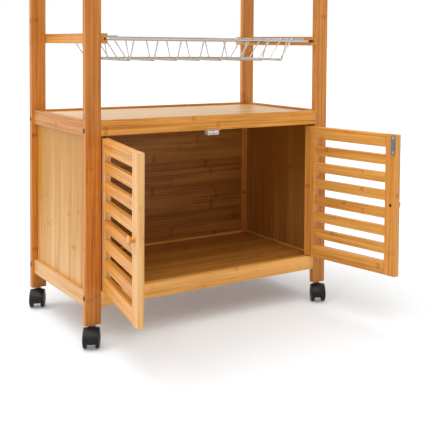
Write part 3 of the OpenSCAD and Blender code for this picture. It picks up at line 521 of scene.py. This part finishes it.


# Screws with a round head and a cross recess: zinc plated on the strike plates and the catch,
# dark steel where they hold the knobs, sunk in the free stiles. Those of the strike plates are
# sunk in the plate, because the catch meets it with 0.4 mm to spare.
HEAD_RADIUS = 3 * MM
HEAD_HEIGHT = 2 * MM
HEAD_ROUND = 1.3 * MM
CROSS_REACH = 1.7 * MM
CROSS_WIDTH = 0.8 * MM
CROSS_DEPTH = 1.2 * MM
CROSS_TAPER = (0.5, 0.6, 1)
EDGE_ANGLE = math.radians(35)
STRIKE_THICKNESS = 1 * MM
STRIKE_HEAD_PROUD = 0.25 * MM
STRIKE_HOLE_REACH = 15.5 * MM
KNOB_RECESS = 3 * MM
FLANGE_THICKNESS = 2.1 * MM
EAR_ROUND = 6 * MM
STRIKE_TURNS = (-0.32, 0.92)
CATCH_TURNS = (0.328, 0.472)
KNOB_TURN = 0.5


def pick_faces(piece, wanted):
    """Goes to edit mode with only the faces selected that pass the test."""
    bpy.ops.object.mode_set(mode="EDIT")
    bpy.ops.mesh.select_mode(type="FACE")
    bpy.ops.mesh.select_all(action="DESELECT")
    bpy.ops.object.mode_set(mode="OBJECT")
    for face in piece.data.polygons:
        face.select = wanted(face)
    bpy.ops.object.mode_set(mode="EDIT")


bpy.ops.object.select_all(action="DESELECT")
bpy.ops.mesh.primitive_cylinder_add(vertices=28, radius=HEAD_RADIUS, depth=HEAD_HEIGHT)
screw_head = bpy.context.object
screw_head.data.transform(Matrix.Translation((0, 0, HEAD_HEIGHT / 2)))
pick_faces(screw_head, lambda face: face.normal.z > 0.9)
bpy.ops.mesh.bevel(offset=HEAD_ROUND, segments=4, affect="EDGES")
bpy.ops.object.mode_set(mode="OBJECT")
for turn in (0, math.radians(90)):
    bpy.ops.object.select_all(action="DESELECT")
    bpy.ops.mesh.primitive_cube_add(size=1)
    cutter = bpy.context.object
    cutter.data.transform(Matrix.Diagonal((2 * CROSS_REACH, CROSS_WIDTH, 2 * CROSS_DEPTH, 1)))
    pick_faces(cutter, lambda face: face.normal.z < -0.9)
    bpy.ops.transform.resize(value=CROSS_TAPER)
    bpy.ops.object.mode_set(mode="OBJECT")
    cutter.data.transform(Matrix.Translation((0, 0, HEAD_HEIGHT)) @ Matrix.Rotation(turn, 4, "Z"))
    bpy.context.view_layer.objects.active = screw_head
    recess = screw_head.modifiers.new("cross_recess", "BOOLEAN")
    recess.operation = "DIFFERENCE"
    recess.solver = "EXACT"
    recess.object = cutter
    bpy.ops.object.modifier_apply(modifier=recess.name)
    bpy.data.objects.remove(cutter)
bpy.ops.object.select_all(action="DESELECT")
screw_head.select_set(True)
bpy.ops.object.shade_smooth_by_angle(angle=EDGE_ANGLE)


def driven(place, direction, turn):
    """Where a screw head stands whose top faces a direction, its cross turned as it came to rest."""
    return (Matrix.Translation(place) @ Vector(direction).to_track_quat("Z", "Y").to_matrix().to_4x4()
            @ Matrix.Rotation(turn, 4, "Z"))


for side, outward in (("left", -1), ("right", 1)):
    inward = Vector((-outward * math.sin(DOOR_OPEN), math.cos(DOOR_OPEN), 0))
    along = Vector((-inward.y, inward.x, 0))
    plate_low, plate_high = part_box(f"{side}_door_strike")
    plate = (plate_low + plate_high) / 2
    head_foot = plate + inward * (STRIKE_THICKNESS / 2 + STRIKE_HEAD_PROUD - HEAD_HEIGHT)
    heads = [driven(head_foot + Vector((0, 0, reach)), inward, turn)
             for reach, turn in zip((-STRIKE_HOLE_REACH, STRIKE_HOLE_REACH), STRIKE_TURNS)]
    strewn(screw_head, f"{side}_strike_screws", heads, zinc, f"{side}_door")
    knob_low, knob_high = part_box(f"{side}_door_knob")
    offsets = [vertex.co.dot(along) for vertex in nodes[f"{side}_door_knob"].data.vertices]
    recess_floor = plate.dot(inward) - STRIKE_THICKNESS / 2 - KNOB_RECESS
    knob_place = (along * (min(offsets) + max(offsets)) / 2 + inward * recess_floor
                  + Vector((0, 0, (knob_low.z + knob_high.z) / 2)))
    strewn(screw_head, f"{side}_knob_screw", [driven(knob_place, inward, KNOB_TURN)], dark_steel,
           f"{side}_door")

catch_low, catch_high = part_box("catch_body")
flange_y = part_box("front_top_rail")[1][1] + FLANGE_THICKNESS
ears = [(x, flange_y, catch_high.z - EAR_ROUND) for x in (catch_low.x + EAR_ROUND, catch_high.x - EAR_ROUND)]
heads = [driven(ear, (0, 1, 0), turn) for ear, turn in zip(ears, CATCH_TURNS)]
strewn(screw_head, "catch_screws", heads, zinc, "frame")
bpy.data.objects.remove(screw_head)


# Pole plates of the catch: two thin plates of dark steel that hold both magnets between them
# and stand a little proud of the white housing, where the strike plates meet them.
POLE_THICKNESS = 0.9 * MM
POLE_DEPTH = 2 * MM
POLE_PROUD = 0.1 * MM
POLE_ROUND = 0.15 * MM
magnet_low, magnet_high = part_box("catch_magnets")
bpy.ops.object.select_all(action="DESELECT")
bpy.ops.mesh.primitive_cube_add(size=1)
pole = bpy.context.object
pole.data.transform(Matrix.Diagonal((magnet_high.x - magnet_low.x, POLE_DEPTH, POLE_THICKNESS, 1)))
bpy.ops.object.mode_set(mode="EDIT")
bpy.ops.mesh.select_all(action="SELECT")
bpy.ops.mesh.bevel(offset=POLE_ROUND, segments=2, affect="EDGES")
bpy.ops.object.mode_set(mode="OBJECT")
pole_y = magnet_low.y - POLE_PROUD + POLE_DEPTH / 2
levels = (magnet_low.z + POLE_THICKNESS / 2, magnet_high.z - POLE_THICKNESS / 2)
strewn(pole, "catch_pole_plates", [Matrix.Translation((0, pole_y, z)) for z in levels], dark_steel,
       "frame")
bpy.data.objects.remove(pole)


# Casters and catch: injection moulded nylon, near black on the casters and white on the catch,
# from moulds with a fine spark-eroded grain.
MOULD_GRAIN = 0.8 * MM            # the real grain is about 0.1 mm: drawn coarser, to show
MOULD_RELIEF = 0.15 * MM
FLOW_MARK = 17 * MM
FLOW_DARKENS = 0.85
FLOW_DULLS = 0.12
NYLON_IOR = 1.53
NYLON_LUSTRE = 0.25


def moulded(name, colour, roughness):
    """Moulded nylon with the fine grain of its mould and faint marks of the melt's flow."""
    made = bpy.data.materials.new(name)
    made.use_nodes = True
    tree = made.node_tree
    tree.nodes.clear()
    coordinates = add(tree, "ShaderNodeTexCoord")
    spark = add(tree, "ShaderNodeTexNoise", {"Scale": 1 / MOULD_GRAIN, "Detail": 2},
                {"Vector": coordinates.outputs["Object"]})
    cloud = add(tree, "ShaderNodeTexNoise", {"Scale": 1 / FLOW_MARK, "Detail": 2},
                {"Vector": coordinates.outputs["Object"]})
    darkened = [c * FLOW_DARKENS for c in linear(colour)[:3]] + [1]
    tint = add(tree, "ShaderNodeMix", {6: linear(colour), 7: darkened}, {0: cloud.outputs[0]},
               data_type="RGBA")
    gloss = add(tree, "ShaderNodeMapRange", {"To Min": roughness, "To Max": roughness + FLOW_DULLS},
                {"Value": cloud.outputs[0]})
    relief = add(tree, "ShaderNodeBump", {"Strength": BUMP_STRENGTH, "Distance": MOULD_RELIEF},
                 {"Height": spark.outputs[0]})
    surface = add(tree, "ShaderNodeBsdfPrincipled", {"IOR": NYLON_IOR, "Specular IOR Level": NYLON_LUSTRE},
                  {"Base Color": tint.outputs[2], "Roughness": gloss.outputs[0],
                   "Normal": relief.outputs[0]})
    add(tree, "ShaderNodeOutputMaterial", links={"Surface": surface.outputs[0]})
    return made


# Black nylon: to the eye near black and satin, with broad soft highlights on the hoods' crowns
nylon = moulded("black_nylon", "#0D0D0C", 0.36)
# Treads: a shade darker and smoother, as rolled on
tread = moulded("black_tread", "#0B0B0A", 0.34)
# White nylon: warm white and soft, without a mirror
white_nylon = moulded("white_nylon", "#FBF8EA", 0.4)
for end in ("front", "back"):
    for side in ("left", "right"):
        dress(nylon, [f"{end}_{side}_hood"])
        dress(tread, [f"{end}_{side}_{part}_wheel" for part in ("inner", "outer")])
dress(white_nylon, ["catch_body"])
